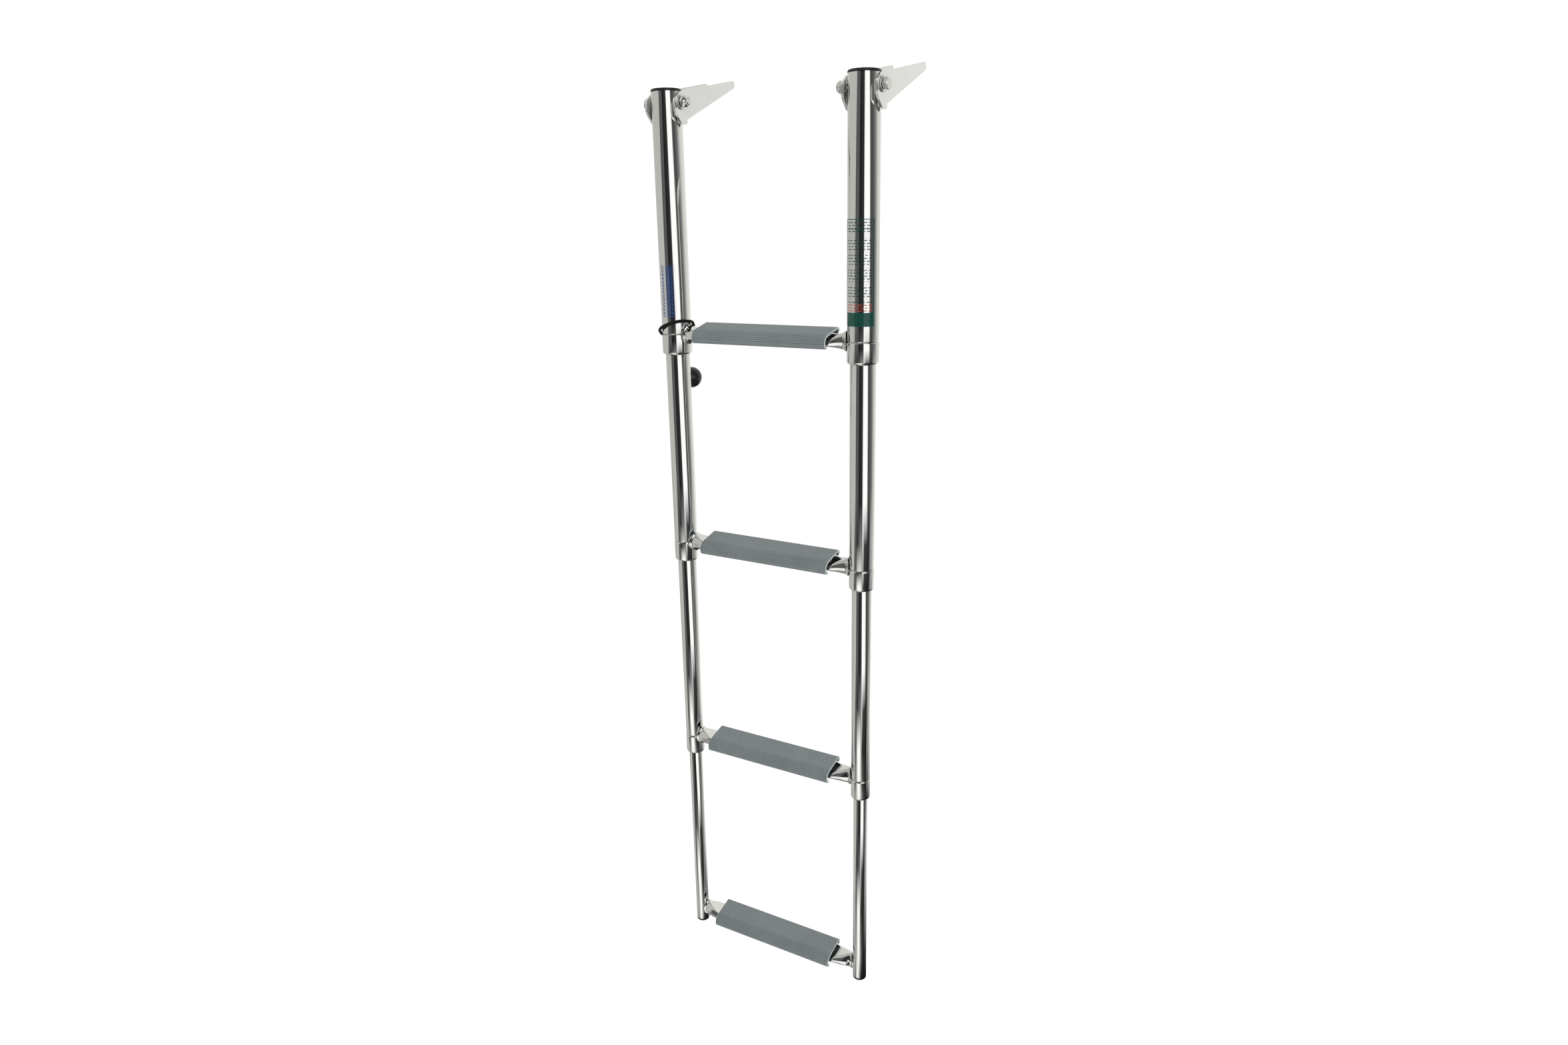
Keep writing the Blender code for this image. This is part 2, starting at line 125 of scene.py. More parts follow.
def steel(name, base, rough, haze, metal=1.0):
    """Polished steel with faint lines along it and a little haze."""
    g = Graph(name)
    cloud = g.noise(9.0, 3.0)
    fine = g.noise(600.0, 3.0)
    lines = g.noise(40.0, 6.0, 0.7, (14.0, 14.0, 0.9))
    color = g.mix(g.spread(cloud, 0.35, 0.7, 0.0, 1.0), base, tuple(c * 0.965 for c in base[:3]) + (1.0,))
    cloudy = g.spread(cloud, 0.3, 0.75, rough, rough + haze)
    roughness = g.math("ADD", cloudy, g.spread(lines, 0.55, 0.8, 0.0, haze))
    bump = g.bump(fine, 0.018, 0.0002)
    return g.set(color=color, rough=roughness, metal=metal, normal=bump)


def plastic(name, base, rough, grain=1400.0, strength=0.12, worn=0.06, shine=0.5):
    """Moulded plastic with a fine grain, slightly lighter in patches."""
    g = Graph(name)
    cloud = g.noise(22.0, 4.0)
    fine = g.noise(grain, 2.0)
    lighter = tuple(min(1.0, c + worn * (0.25 + c)) for c in base[:3]) + (1.0,)
    color = g.mix(g.spread(cloud, 0.42, 0.75, 0.0, 1.0), base, lighter)
    return g.set(color=color, rough=g.spread(cloud, 0.3, 0.7, rough, rough + 0.1), specular=shine,
                 normal=g.bump(fine, strength, 0.0003))


def tread_plastic():
    """Grey plastic with a fine grain, faint streaks along it and a painted highlight along both ends."""
    g = Graph("tread_plastic")
    cloud = g.noise(30.0, 4.0)
    fine = g.noise(1900.0, 2.0)
    speck = g.noise(700.0, 3.0, 0.7)
    streak = g.noise(500.0, 3.0, 0.6, (0.04, 1.0, 1.0))
    color = g.mix(g.spread(cloud, 0.35, 0.7, 0.0, 1.0), (0.138, 0.158, 0.162, 1), (0.156, 0.178, 0.180, 1))
    color = g.mix(g.spread(speck, 0.5, 0.66, 0.0, 0.28), color, (0.24, 0.268, 0.266, 1))
    color = g.mix(g.spread(speck, 0.5, 0.34, 0.0, 0.26), color, (0.085, 0.10, 0.104, 1))
    color = g.mix(g.spread(streak, 0.5, 0.75, 0.0, 0.18), color, (0.112, 0.130, 0.133, 1))
    beyond = g.math("ABSOLUTE", g.xyz()[0])
    # Painted highlight: the end faces and the last 0.3 mm of the sides beside them are coloured much lighter,
    # standing in for light caught at the ends.
    painted_end_highlight = g.spread(beyond, TREAD_HALF - 0.3 * MM, TREAD_HALF - 0.05 * MM, 0.0, 1.0)
    color = g.mix(painted_end_highlight, color, (0.50, 0.56, 0.56, 1))
    normal = g.bump(streak, 0.15, 0.0002, g.bump(fine, 0.35, 0.0002))
    return g.set(color=color, rough=g.spread(cloud, 0.3, 0.7, 0.5, 0.62), normal=normal)


PRINT_SIDE = 3.0 * MM
PRINT_END = 1.5 * MM
BORDER = 0.8 * MM
RULE_DOWN = 11.0 * MM
RULE_HALF = 0.35 * MM
RED_FROM = 1.0 * MM
RED_TO = 11.0 * MM
RED_SIDE = 2.0 * MM
ROWS_IN_GROUP = 5.4
GROUP_CUT = -0.72
BAR_SHARE = 0.6
PRINT_SHARE = 0.93


def film(name, side, edges, ink, row, bar, word, band=0.0, upright=False):
    """A clear label with plain bars in rows, which run along the rail if upright.

    One with a band also has a plain border, a rule below its head, red rows above its foot and a dark foot.
    """
    low, high, half = edges
    g = Graph(name)
    x, y, z = g.xyz()
    angle = g.math("ARCTAN2", y, g.math("SUBTRACT", x, side * RAIL_X))
    across = g.math("MULTIPLY", g.math("SUBTRACT", angle, math.radians(LABEL_TURN)), TUBE_R[0])
    from_side = g.math("SUBTRACT", math.radians(half) * TUBE_R[0], g.math("ABSOLUTE", across))
    foot = g.math("SUBTRACT", z, RUNG_Z[0] + low)
    head = g.math("SUBTRACT", high - low, foot)
    along, rows = (foot, across) if upright else (across, foot)
    place = g.node("ShaderNodeCombineXYZ", {"X": along, "Y": rows}).outputs[0]
    bricks = g.node("ShaderNodeTexBrick", {
        "Vector": place, "Scale": 1.0, "Mortar Size": (row - bar) / 2, "Mortar Smooth": 0.1,
        "Brick Width": word, "Row Height": row,
        "Color1": (1, 1, 1, 1), "Color2": (1, 1, 1, 1), "Mortar": (0, 0, 0, 1),
    }, offset=0.37, squash=0.8, squash_frequency=3)
    wave = g.math("SINE", g.math("MULTIPLY", rows, 2 * math.pi / (row * ROWS_IN_GROUP)))
    groups = g.math("GREATER_THAN", wave, GROUP_CUT)
    bars = g.math("MULTIPLY", g.math("GREATER_THAN", from_side, PRINT_SIDE), bricks.outputs["Color"])
    bars = g.math("MULTIPLY", bars, groups)
    bars = g.math("MULTIPLY", bars, g.math("GREATER_THAN", foot, band + PRINT_END))
    bars = g.math("MULTIPLY", bars, g.math("GREATER_THAN", head, PRINT_END))
    printed = g.math("MULTIPLY", bars, BAR_SHARE)
    if band:
        edge = g.math("MINIMUM", from_side, g.math("MINIMUM", head, foot))
        printed = g.math("MAXIMUM", printed, g.math("LESS_THAN", edge, BORDER))
        printed = g.math("MAXIMUM", printed, g.math("LESS_THAN", foot, band))
        rule = g.math("ABSOLUTE", g.math("SUBTRACT", head, RULE_DOWN))
        printed = g.math("MAXIMUM", printed, g.math("LESS_THAN", rule, RULE_HALF))
        above_band = g.math("GREATER_THAN", foot, band + RED_FROM)
        red = g.math("MULTIPLY", g.math("LESS_THAN", foot, band + RED_TO), above_band)
        red = g.math("MULTIPLY", red, g.math("GREATER_THAN", edge, RED_SIDE))
        ink = g.mix(red, ink, (0.45, 0.05, 0.03, 1))
    smear = g.noise(120.0, 3.0)
    clear = g.spread(smear, 0.3, 0.7, 0.01, 0.04)
    alpha = g.math("ADD", g.math("MULTIPLY", printed, PRINT_SHARE), clear, clamp=True)
    return g.set(color=ink, rough=g.spread(smear, 0.3, 0.7, 0.12, 0.22), alpha=alpha)


STEEL = steel("polished_stainless", (0.84, 0.84, 0.82, 1), 0.035, 0.03)
PLATE = steel("bracket_stainless", (0.91, 0.91, 0.90, 1), 0.17, 0.07, 0.87)
HARDWARE = steel("fastener_stainless", (0.80, 0.80, 0.78, 1), 0.09, 0.07)
BLACK = plastic("black_plastic", (0.010, 0.011, 0.010, 1), 0.25, worn=0.03, shine=0.3)
BALL = plastic("ball_plastic", (0.010, 0.010, 0.010, 1), 0.14, 300.0, 0.02, 0.02)
NYLON = plastic("nylon", (0.78, 0.78, 0.73, 1), 0.45)
TREAD = tread_plastic()
FILM_LEFT = film(
    "label_left_film", -1, LABEL_LEFT, (0.03, 0.08, 0.26, 1),
    row=2.4 * MM, bar=1.15 * MM, word=5.5 * MM, upright=True,
)
FILM_RIGHT = film(
    "label_right_film", 1, LABEL_RIGHT, (0.005, 0.05, 0.037, 1),
    row=3.3 * MM, bar=0.9 * MM, word=6 * MM, band=16 * MM,
)


# ---------------------------------------------------------------- pieces
BODY_OF = {node: body for body, nodes in frame["record"]["behaviour"]["bodies"].items() for node in nodes}
MERGE_DISTANCE = 0.000002
FLAT_WITHIN = math.radians(0.8)
BEVEL_OVER = math.radians(50)


def settle(obj, node, look):
    """The piece stands for that CAD node and moves with its body."""
    obj.data.materials.clear()
    obj.data.materials.append(look)
    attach(obj, BODY_OF[node])
    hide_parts(node)
    return obj


def smooth_mesh(bm, name, angle):
    """An object from a bmesh: joined corners, smooth shading, sharp where faces turn by more."""
    bmesh.ops.remove_doubles(bm, verts=bm.verts, dist=MERGE_DISTANCE)
    bmesh.ops.recalc_face_normals(bm, faces=bm.faces)
    for face in bm.faces:
        face.smooth = True
    mesh = bpy.data.meshes.new(name)
    bm.to_mesh(mesh)
    bm.free()
    mesh.set_sharp_from_angle(angle=math.radians(angle))
    obj = bpy.data.objects.new(name, mesh)
    bpy.context.scene.collection.objects.link(obj)
    return obj


def copied(node, look, bevel=0.0, angle=32.0):
    """A smooth-shaded piece with the CAD node's own shape."""
    source = NODES[node]
    bm = bmesh.new()
    bm.from_mesh(source.data)
    bmesh.ops.transform(bm, matrix=source.matrix_world, verts=bm.verts)
    bmesh.ops.remove_doubles(bm, verts=bm.verts, dist=MERGE_DISTANCE)
    bmesh.ops.dissolve_limit(
        bm, angle_limit=FLAT_WITHIN, verts=bm.verts, edges=bm.edges, use_dissolve_boundaries=False,
    )
    obj = smooth_mesh(bm, node + "_look", angle)
    if bevel:
        edges = obj.modifiers.new("Edges", "BEVEL")
        edges.width = bevel
        edges.segments = 2
        edges.limit_method = "ANGLE"
        edges.angle_limit = BEVEL_OVER
        edges.harden_normals = True
    return settle(obj, node, look)


def turned(node, profile, look, at, segments=96):
    """A smooth turned piece; the profile is (radius, height), and a ring where no radius is 0."""
    bm = bmesh.new()
    rows = []
    for radius, height in profile:
        if radius == 0:
            rows.append([bm.verts.new((at[0], at[1], at[2] + height))] * segments)
            continue
        ring = []
        for k in range(segments):
            angle = 2 * math.pi * k / segments
            ring.append(bm.verts.new((
                at[0] + radius * math.cos(angle), at[1] + radius * math.sin(angle), at[2] + height,
            )))
        rows.append(ring)
    pairs = list(zip(rows, rows[1:]))
    if all(radius > 0 for radius, _ in profile):
        pairs.append((rows[-1], rows[0]))
    for first, second in pairs:
        for k in range(segments):
            after = (k + 1) % segments
            corners = []
            for vert in (first[k], first[after], second[after], second[k]):
                if vert not in corners:
                    corners.append(vert)
            bm.faces.new(corners)
    return settle(smooth_mesh(bm, node + "_look", 50.0), node, look)


def arc(cx, cy, radius, start, end, count):
    """Points on an arc, from one angle to the other in degrees."""
    points = []
    for k in range(count + 1):
        angle = math.radians(start + (end - start) * k / count)
        points.append((cx + radius * math.cos(angle), cy + radius * math.sin(angle)))
    return points


WALL = 1.5 * MM
GAP = 0.3 * MM
RAIL_TOP = 13.0 * MM
OVERLAP = 28.0 * MM
FOOT_END = RUNG_Z[3] - 20.5 * MM
TUBE_CHAMFER = 0.35 * MM
TUBE_END_R = 1.0 * MM
COLLAR_LENGTH = (26.2 * MM, 27.4 * MM, 28.4 * MM)
COLLAR_PROUD = 0.4 * MM
COLLAR_CLEAR = 0.32 * MM
COLLAR_TOP_R = 1.6 * MM
COLLAR_FOOT_R = 3.0 * MM
SPIGOT_TOP = 7 * MM
CAP_PROUD = 0.25 * MM
CAP_R = 2.4 * MM
CAP_DEPTH = 6.5 * MM
PLUG_TOP = 9 * MM
PLUG_R = 1.5 * MM
PLUG_LEAD = 1 * MM


def rail(side, name, level):
    """One tube of a rail; each lower one reaches up into the tube above it."""
    radius = TUBE_R[level]
    top = RAIL_TOP if level == 0 else RUNG_Z[level - 1] + OVERLAP
    bottom = FOOT_END if level == 3 else RUNG_Z[level] + GAP / 2
    profile = [(radius - TUBE_CHAMFER, top), (radius, top - TUBE_CHAMFER), (radius, bottom + 1.6 * MM)]
    profile += arc(radius - TUBE_END_R, bottom + TUBE_END_R, TUBE_END_R, 0, -80, 5)
    profile += [(radius - WALL, bottom), (radius - WALL, top)]
    turned(f"rail_{level + 1}_{name}", profile, STEEL, (side * RAIL_X, 0, 0))


def collar(side, name, level):
    """The collar at a tube's lower end, with a spigot inside it and a bore for the next tube."""
    outer = TUBE_R[level] + COLLAR_PROUD
    spigot = TUBE_R[level] - WALL - GAP
    bore = TUBE_R[level + 1] + COLLAR_CLEAR
    length = COLLAR_LENGTH[level]
    profile = [(spigot, SPIGOT_TOP), (spigot, -GAP / 2), (outer - 2.0 * MM, -GAP / 2)]
    profile += arc(outer - COLLAR_TOP_R, -1.75 * MM, COLLAR_TOP_R, 85, 0, 6)
    profile += arc(outer - COLLAR_FOOT_R, COLLAR_FOOT_R - length, COLLAR_FOOT_R, 0, -78, 8)
    profile += [(bore, -length), (bore, SPIGOT_TOP)]
    turned(f"collar_{level + 1}_{name}", profile, STEEL, (side * RAIL_X, 0, RUNG_Z[level]))


def top_cap(side, name):
    """The low domed cap in a rail's top end."""
    plug = TUBE_R[0] - WALL - GAP
    rim = TUBE_R[0] + CAP_PROUD
    profile = [(0, 4.2 * MM), (6 * MM, 4.12 * MM), (10 * MM, 3.9 * MM), (14 * MM, 3.45 * MM)]
    profile += arc(rim - CAP_R, 0.9 * MM, CAP_R, 75, 0, 8)
    profile += [(rim, GAP), (plug, GAP), (plug, PLUG_LEAD - CAP_DEPTH)]
    profile += [(plug - PLUG_LEAD, -CAP_DEPTH), (0, -CAP_DEPTH)]
    turned(f"top_cap_{name}", profile, BLACK, (side * RAIL_X, 0, RAIL_TOP))


def foot_plug(side, name):
    """The plug in the lowest tube's end."""
    plug = TUBE_R[3] - WALL - GAP
    rim = TUBE_R[3] - 0.1 * MM
    profile = [(0, PLUG_TOP), (plug - PLUG_LEAD, PLUG_TOP), (plug, PLUG_TOP - PLUG_LEAD)]
    profile += [(plug, -GAP), (rim, -GAP), (rim, -1.4 * MM)]
    profile += arc(rim - PLUG_R, -PLUG_R, PLUG_R, 0, -85, 6)
    profile += [(0, -3.0 * MM)]
    turned(f"foot_plug_{name}", profile, BLACK, (side * RAIL_X, 0, FOOT_END))


def smooth(value):
    """0 to 1 with a soft start and end."""
    value = min(1.0, max(0.0, value))
    return value * value * (3 - 2 * value)


RUNG_R = 11.1 * MM
RUNG_HALF_FLAT = 4.2 * MM
RUNG_RISE = -0.2 * MM
FLAT_FROM = 95.0 * MM
SEAT_OUT = 1.15 * MM
END_SHARE = 0.68
WELD_LENGTH = 3.0 * MM
WELD_RISE = 1.6 * MM
WELD_HEIGHT = 1.5 * MM
NARROW_FROM = 110 * MM
SADDLE_FROM = 104 * MM


def rung(level, count=72):
    """The rung's tube, finer than the CAD node's: round at the rails, pressed flat between them."""
    seat = TUBE_R[level] + SEAT_OUT + (COLLAR_PROUD if level < 3 else 0.0)
    end_half = min(RUNG_R, seat * END_SHARE)
    reach = RAIL_X - seat
    weld_from = reach - WELD_LENGTH
    stations = [0.0, 60 * MM, 85 * MM, 93.5 * MM]
    stations += [FLAT_FROM + (weld_from - FLAT_FROM) * k / 14 for k in range(15)]
    stations += [reach - short * MM for short in (2.6, 2.2, 1.8, 1.4, 0.7, 0.0)]
    bm = bmesh.new()
    rings = []
    for x in [-x for x in reversed(stations[1:])] + stations:
        flat = min(1.0, max(0.0, (weld_from - abs(x)) / (weld_from - FLAT_FROM)))
        half_t = RUNG_R + (RUNG_HALF_FLAT - RUNG_R) * flat
        half_w = math.pi * (RUNG_R - half_t) / 2
        weld = smooth((abs(x) - weld_from) / WELD_RISE)
        spread = 1 + (end_half / RUNG_R - 1) * smooth((abs(x) - NARROW_FROM) / (reach - NARROW_FROM))
        ring = []
        for k in range(count):
            angle = 2 * math.pi * (k + 0.5) / count
            bead = 1 + 0.05 * math.sin(13 * angle + 2.0 * level) + 0.03 * math.sin(7 * angle)
            grow = 1 + weld * bead * WELD_HEIGHT / RUNG_R
            y = (half_t * math.cos(angle) + math.copysign(half_w, math.cos(angle))) * grow * spread
            z = half_t * math.sin(angle) * grow
            tilt = TREAD_TILT * flat
            y, z = y * math.cos(tilt) - z * math.sin(tilt), y * math.sin(tilt) + z * math.cos(tilt)
            near = math.sqrt(max(seat * seat - y * y, (0.25 * seat) ** 2))
            saddle = smooth((abs(x) - SADDLE_FROM) / (reach - SADDLE_FROM))
            along = abs(x) + (seat - near) * saddle
            ring.append(bm.verts.new((math.copysign(along, x), y, z + RUNG_RISE * flat + RUNG_Z[level])))
        rings.append(ring)
    for first, second in zip(rings, rings[1:]):
        for k in range(count):
            after = (k + 1) % count
            bm.faces.new((first[k], first[after], second[after], second[k]))
    bm.faces.new(rings[0])
    bm.faces.new(rings[-1][::-1])
    settle(smooth_mesh(bm, f"rung_{level + 1}_look", 60.0), f"rung_{level + 1}", STEEL)


TREAD_WALL = 2.6 * MM
TREAD_FRONT = -24.0 * MM
TREAD_BACK = 18.4 * MM
TREAD_TOP = 11.6 * MM
NOSE_R = 10.5 * MM
CURL_R = 4.0 * MM
GROOVES_FROM = 8.0 * MM
GROOVES_TO = 24.0 * MM
GROOVE_PITCH = 2.2 * MM
GROOVE_DEPTH = 0.6 * MM
GROOVE_STEP = 0.22 * MM


def tread(level):
    """The curled profile over a rung, with fine grooves along its nose."""
    nose_y = TREAD_FRONT + NOSE_R
    nose_z = TREAD_TOP - NOSE_R
    corners = [
        (nose_y - 5.0 * MM, nose_z - 3.8 * MM),
        (nose_y - 6.2 * MM, nose_z - 4.4 * MM),
        (nose_y - 7.7 * MM, nose_z - 3.9 * MM),
    ]
    corners += arc(nose_y, nose_z, NOSE_R - TREAD_WALL / 2, 197, 90, 36)
    corners += arc(TREAD_BACK - CURL_R, TREAD_TOP - CURL_R, CURL_R - TREAD_WALL / 2, 90, -95, 20)
    middle = [Vector(corners[0])]
    for first, second in zip(corners, corners[1:]):
        step = Vector(second) - Vector(first)
        count = max(1, round(step.length / GROOVE_STEP))
        middle += [Vector(first) + step * (k + 1) / count for k in range(count)]
    bm = bmesh.new()
    rows = []
    walked = 0.0
    for k, here in enumerate(middle):
        before = middle[max(k - 3, 0)]
        after = middle[min(k + 3, len(middle) - 1)]
        along = (after - before).normalized()
        out = Vector((-along.y, along.x))
        if k:
            walked += (here - middle[k - 1]).length
        depth = 0.0
        if GROOVES_FROM < walked < GROOVES_TO:
            depth = GROOVE_DEPTH * max(0.0, math.cos(2 * math.pi * walked / GROOVE_PITCH)) ** 4
        row = []
        for x in (-TREAD_HALF, TREAD_HALF):
            for offset in (TREAD_WALL / 2 - depth, -TREAD_WALL / 2):
                place = here + out * offset
                row.append(bm.verts.new((x, place.x, place.y)))
        rows.append(row)
    for a, b in zip(rows, rows[1:]):
        bm.faces.new((a[0], a[2], b[2], b[0]))
        bm.faces.new((a[1], b[1], b[3], a[3]))
        bm.faces.new((a[0], b[0], b[1], a[1]))
        bm.faces.new((a[2], a[3], b[3], b[2]))
    for row in (rows[0], rows[-1]):
        bm.faces.new((row[0], row[1], row[3], row[2]))
    obj = smooth_mesh(bm, f"tread_{level + 1}_look", 40.0)
    obj.data.transform(Matrix.Translation((0, 0, RUNG_Z[level])) @ Matrix.Rotation(TREAD_TILT, 4, "X"))
    settle(obj, f"tread_{level + 1}", TREAD)


def washer(side, name, label, low):
    """A flat washer on the pivot's axis."""
    profile = [(8.75 * MM, 1.6 * MM), (8.93 * MM, 1.52 * MM), (9.0 * MM, 1.35 * MM), (9.0 * MM, 0.25 * MM)]
    profile += [(8.93 * MM, 0.08 * MM), (8.75 * MM, 0.0), (4.3 * MM, 0.0), (4.3 * MM, 1.6 * MM)]
    obj = turned(f"washer_{label}_{name}", profile, HARDWARE, (0, 0, 0))
    turn = Matrix.Translation((side * RAIL_X, 0, 0)) @ Matrix.Rotation(side * math.pi / 2, 4, "Y")
    obj.data.transform(turn @ Matrix.Translation((0, 0, low)))


BRACKET_BEVEL = 0.45 * MM
HEX_SHARP = 25.0
HEAD_WASHER_AT = 22.95 * MM
NUT_WASHER_AT = -24.55 * MM

for side, name in ((-1, "left"), (1, "right")):
    for level in range(4):
        rail(side, name, level)
        if level < 3:
            collar(side, name, level)
        if level > 0:
            copied(f"guide_ring_{level + 1}_{name}", NYLON)
    top_cap(side, name)
    foot_plug(side, name)
    copied(f"bracket_{name}", PLATE, BRACKET_BEVEL)
    copied(f"pivot_bolt_{name}", HARDWARE, angle=HEX_SHARP)
    copied(f"lock_nut_{name}", HARDWARE, angle=HEX_SHARP)
    washer(side, name, "head", HEAD_WASHER_AT)
    washer(side, name, "nut", NUT_WASHER_AT)
for level in range(4):
    rung(level)
    tread(level)
copied("label_left", FILM_LEFT)
copied("label_right", FILM_RIGHT)

# ---------------------------------------------------------------- elastic tie
CORD_R = 2.0 * MM
LOOP_R = TUBE_R[0] + CORD_R + 1.2 * MM
BALL_R = 14.0 * MM
BALL_AT = Vector((-5.5 * MM, 37.0 * MM, -63.0 * MM))
BALL_LEAVE = Vector((-0.45, -0.15, 0.88)).normalized()
STRAND_APART = Vector((1.76 * MM, -2.43 * MM, 0))
STRAND_OFF = 1.1 * MM
SEAM = Vector((-RAIL_X, 0, RUNG_Z[0]))

ball_profile = [(0, BALL_R)] + arc(0, 0, BALL_R, 87, -87, 58) + [(0, -BALL_R)]
ball_look = turned("tie_ball", ball_profile, BALL, SEAM + BALL_AT, 64)


def tie_route():
    """From one strand's end at the ball, up and round the rail, and down behind it to the other strand's end.

    Both ends stop just off the ball, side by side.
    """
    mouth = BALL_AT + BALL_LEAVE * (BALL_R + STRAND_OFF)
    near = mouth + STRAND_APART
    far = mouth - STRAND_APART
    route = [near, near + BALL_LEAVE * 7 * MM]
    route += [Vector((-1 * MM, 30 * MM, -24 * MM)), Vector((2 * MM, 25 * MM, -9 * MM))]
    for angle, height in ((60, 2), (36, 9), (18, 14), (0, 16.3), (-26, 17.4), (-54, 16.7), (-84, 14),
                          (-114, 9.5), (-144, 4.7), (-168, 0), (-192, -5.5), (-216, -12)):
        turn = math.radians(angle)
        route.append(Vector((LOOP_R * math.cos(turn), LOOP_R * math.sin(turn), height * MM)))
    route += [Vector((-17 * MM, 24 * MM, -24 * MM)), far + BALL_LEAVE * 7 * MM, far]
    return route


def spline(points, steps):
    """A smooth line through the points, with that many steps between each two."""
    padded = [points[0] * 2 - points[1], *points, points[-1] * 2 - points[-2]]
    placed = []
    for k in range(1, len(padded) - 2):
        p0, p1, p2, p3 = padded[k - 1:k + 3]
        for step in range(steps):
            t = step / steps
            placed.append(0.5 * (
                p1 * 2 + (p2 - p0) * t + (p0 * 2 - p1 * 5 + p2 * 4 - p3) * t ** 2
                + (p1 * 3 - p0 - p2 * 3 + p3) * t ** 3
            ))
    placed.append(points[-1])
    return placed


def woven_sleeve():
    """The cord's black woven sleeve."""
    g = Graph("woven_sleeve")
    fine = g.noise(2600.0, 3.0)
    cloud = g.noise(200.0, 3.0)
    color = g.mix(g.spread(fine, 0.4, 0.7, 0.0, 1.0), (0.004, 0.004, 0.004, 1), (0.012, 0.012, 0.012, 1))
    return g.set(color=color, rough=g.spread(cloud, 0.3, 0.7, 0.5, 0.7), specular=0.15,
                 normal=g.bump(fine, 0.6, 0.0003))


tie_line = [place + SEAM for place in spline(tie_route(), 10)]
tie_curve = bpy.data.curves.new("tie_elastic", "CURVE")
tie_curve.dimensions = "3D"
tie_curve.bevel_depth = CORD_R
tie_curve.bevel_resolution = 4
tie_curve.use_fill_caps = True
tie_path = tie_curve.splines.new("POLY")
tie_path.points.add(len(tie_line) - 1)
for point, place in zip(tie_path.points, tie_line):
    point.co = (*place, 1.0)
tie = bpy.data.objects.new("tie_elastic", tie_curve)
bpy.context.scene.collection.objects.link(tie)
tie_curve.materials.append(woven_sleeve())
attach(tie, "section_1")
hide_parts("tie_cord")


# ---------------------------------------------------------------- studio
def stage_material(name, color, rough):
    """A plain material with no shine."""
    mat = bpy.data.materials.new(name)
    mat.use_nodes = True
    inputs = mat.node_tree.nodes["Principled BSDF"].inputs
    inputs["Base Color"].default_value = (*color, 1)
    inputs["Roughness"].default_value = rough
    inputs["Specular IOR Level"].default_value = 0.0
    return mat


def card(name, corners, mat):
    mesh = bpy.data.meshes.new(name)
    mesh.from_pydata(corners, [], [tuple(range(len(corners)))])
    obj = bpy.data.objects.new(name, mesh)
    mesh.materials.append(mat)
    bpy.context.scene.collection.objects.link(obj)
    return obj


def lamp(name, place, target, width, height, power):
    data = bpy.data.lights.new(name, "AREA")
    data.shape = "RECTANGLE"
    data.size = width
    data.size_y = height
    data.energy = power
    obj = bpy.data.objects.new(name, data)
    bpy.context.scene.collection.objects.link(obj)
    obj.location = place
    obj.rotation_euler = (Vector(target) - Vector(place)).to_track_quat("-Z", "Y").to_euler()
    return obj


FLOOR_Z = -1.42
FLOOR_HALF = 40
pale = stage_material("pale_floor", (0.93, 0.93, 0.93), 1.0)
floor_corners = [(x * FLOOR_HALF, y * FLOOR_HALF, FLOOR_Z) for x, y in ((-1, -1), (1, -1), (1, 1), (-1, 1))]
floor = card("floor", floor_corners, pale)
floor.visible_glossy = False

PLAIN_STRENGTH = 1.08
MIRRORED_STRENGTH = 1.2
# What the polished steel reflects: (elevation, ((azimuth, brightness), ...)) in degrees and from 0 to 1.
# Azimuth 0 is -Y and 90 is +X. Above the first elevation and below the last one their own values go on.
AROUND = (
    (-3, ((-180, 0.72), (-130, 0.60), (-112, 0.46), (-38, 0.46), (-34, 0.09), (-10, 0.09), (-5, 0.012),
          (27, 0.03), (33, 0.98), (68, 1.0), (73, 0.25), (80, 0.05), (96, 0.08), (112, 0.15), (122, 0.25),
          (134, 0.50), (146, 0.60), (180, 0.72))),
    (-13, ((-180, 0.80), (-125, 0.45), (-98, 0.36), (-70, 0.48), (-50, 0.48), (-43, 0.12), (-24, 0.05),
           (-12, 0.02), (2, 0.13), (26, 0.25), (34, 0.62), (39, 0.45), (46, 0.05), (94, 0.02), (104, 0.25),
           (120, 0.42), (144, 0.50), (162, 0.80), (180, 0.80))),
    (-23, ((-180, 0.95), (-140, 0.50), (-100, 0.45), (-58, 0.50), (-50, 0.12), (-32, 0.08), (-22, 0.35),
           (-13, 0.97), (15, 1.0), (24, 0.60), (34, 0.12), (44, 0.03), (90, 0.01), (98, 0.18), (124, 0.34),
           (138, 0.50), (150, 0.85), (180, 0.95))),
    (-35, ((-180, 0.45), (-150, 0.45), (-128, 0.42), (-104, 0.42), (-80, 0.42), (-66, 0.46), (-48, 0.32),
           (-36, 0.34), (-22, 0.50), (-8, 0.85), (2, 0.98), (10, 0.97), (24, 0.62), (40, 0.28), (50, 0.10),
           (76, 0.03), (96, 0.01), (128, 0.03), (144, 0.12), (160, 0.28), (180, 0.45))),
    (-40, ((-180, 0.02), (-150, 0.20), (-128, 0.25), (-104, 0.25), (-82, 0.34), (-62, 0.31), (-44, 0.12),
           (-24, 0.70), (-7, 0.98), (4, 0.80), (14, 0.45), (28, 0.20), (42, 0.05), (60, 0.01), (90, 0.01),
           (128, 0.01), (150, 0.01), (166, 0.01), (180, 0.02))),
)


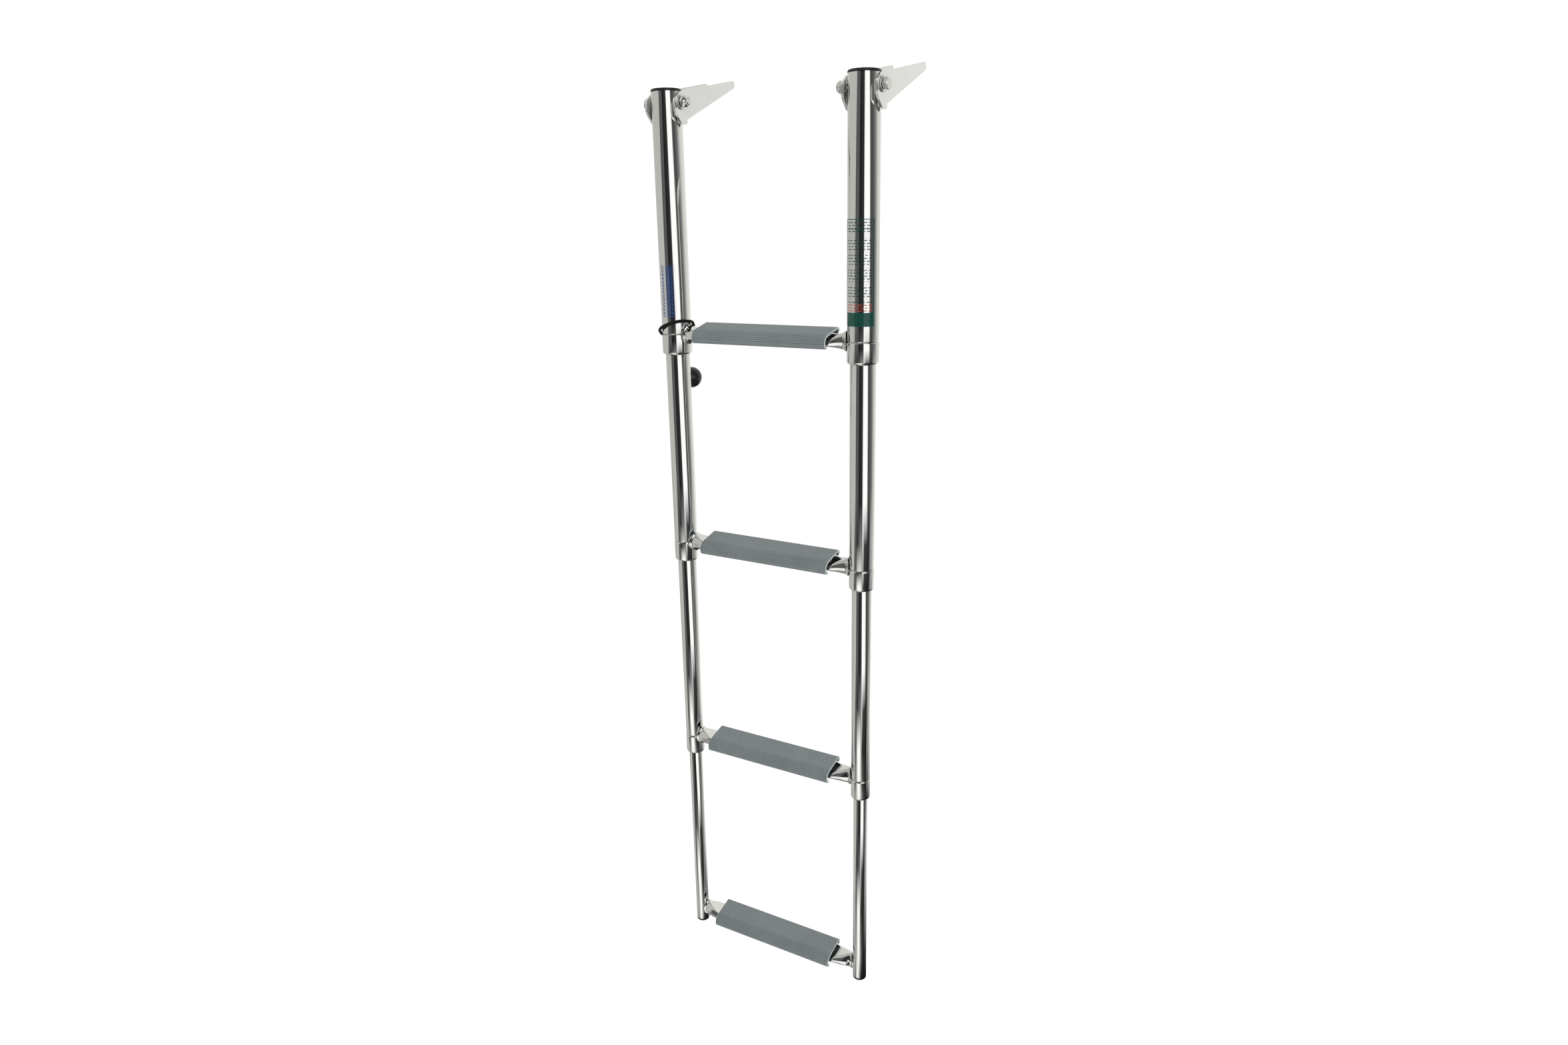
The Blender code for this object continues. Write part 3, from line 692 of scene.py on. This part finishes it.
def studio_world():
    """Plain white, with the light and dark sides of a studio where polished metal reflects it."""
    world = bpy.data.worlds.new("studio")
    world.use_nodes = True
    nodes, links = world.node_tree.nodes, world.node_tree.links

    def calc(operation, a, b):
        made = nodes.new("ShaderNodeMath")
        made.operation = operation
        for value, socket in ((a, made.inputs[0]), (b, made.inputs[1])):
            if isinstance(value, bpy.types.NodeSocket):
                links.new(value, socket)
            else:
                socket.default_value = value
        return made.outputs[0]

    split = nodes.new("ShaderNodeSeparateXYZ")
    links.new(nodes.new("ShaderNodeTexCoord").outputs["Generated"], split.inputs[0])
    x, y, z = split.outputs
    turn = calc("ARCTAN2", x, calc("MULTIPLY", y, -1.0))
    turn = calc("ADD", calc("DIVIDE", turn, 2 * math.pi), 0.5)
    seen = None
    above = None
    for elevation, stops in AROUND:
        ramp = nodes.new("ShaderNodeValToRGB")
        links.new(turn, ramp.inputs[0])
        while len(ramp.color_ramp.elements) < len(stops):
            ramp.color_ramp.elements.new(0.5)
        for element, (azimuth, value) in zip(ramp.color_ramp.elements, stops):
            warmth = 0.955 if value > 0.3 else 1.02
            element.position = azimuth / 360 + 0.5
            element.color = (value, value, value * (warmth if value < 0.9 else 1.0), 1)
        height = math.sin(math.radians(elevation))
        if seen is None:
            seen, above = ramp.outputs[0], height
            continue
        blend = nodes.new("ShaderNodeMapRange")
        links.new(z, blend.inputs["Value"])
        blend.inputs["From Min"].default_value = above
        blend.inputs["From Max"].default_value = height
        mixed = nodes.new("ShaderNodeMix")
        mixed.data_type = "RGBA"
        links.new(blend.outputs[0], mixed.inputs[0])
        links.new(seen, mixed.inputs[6])
        links.new(ramp.outputs[0], mixed.inputs[7])
        seen, above = mixed.outputs[2], height
    plain = nodes["Background"]
    plain.inputs["Color"].default_value = (1, 1, 1, 1)
    plain.inputs["Strength"].default_value = PLAIN_STRENGTH
    mirrored = nodes.new("ShaderNodeBackground")
    links.new(seen, mirrored.inputs["Color"])
    mirrored.inputs["Strength"].default_value = MIRRORED_STRENGTH
    choose = nodes.new("ShaderNodeMixShader")
    links.new(nodes.new("ShaderNodeLightPath").outputs["Is Glossy Ray"], choose.inputs[0])
    links.new(plain.outputs[0], choose.inputs[1])
    links.new(mirrored.outputs[0], choose.inputs[2])
    links.new(choose.outputs[0], nodes["World Output"].inputs["Surface"])
    return world


bpy.context.scene.world = studio_world()

for lamp_made in (lamp("key", (1.4, -1.8, 1.6), (0, 0, -0.5), 1.2, 1.6, 20),
                  lamp("fill", (-2.0, -1.2, 0.6), (0, 0, -0.6), 1.4, 2.0, 8)):
    lamp_made.visible_glossy = False

# The photo's viewpoint, found from the photo.
camera_data = bpy.data.cameras.new("camera")
camera_data.sensor_width = 36.0
camera_data.lens = 23.208
camera = bpy.data.objects.new("camera", camera_data)
bpy.context.scene.collection.objects.link(camera)
right = Vector((0.867003, 0.498036, -0.016313))
up = Vector((-0.126124, 0.250998, 0.959736))
back = Vector((0.482078, -0.830036, 0.280431))
place = Vector((0.66191, -1.10051, -0.15017))
camera.matrix_world = Matrix((
    (right.x, up.x, back.x, place.x),
    (right.y, up.y, back.y, place.y),
    (right.z, up.z, back.z, place.z),
    (0, 0, 0, 1),
))
bpy.context.scene.camera = camera
bpy.context.scene.view_settings.view_transform = "Standard"
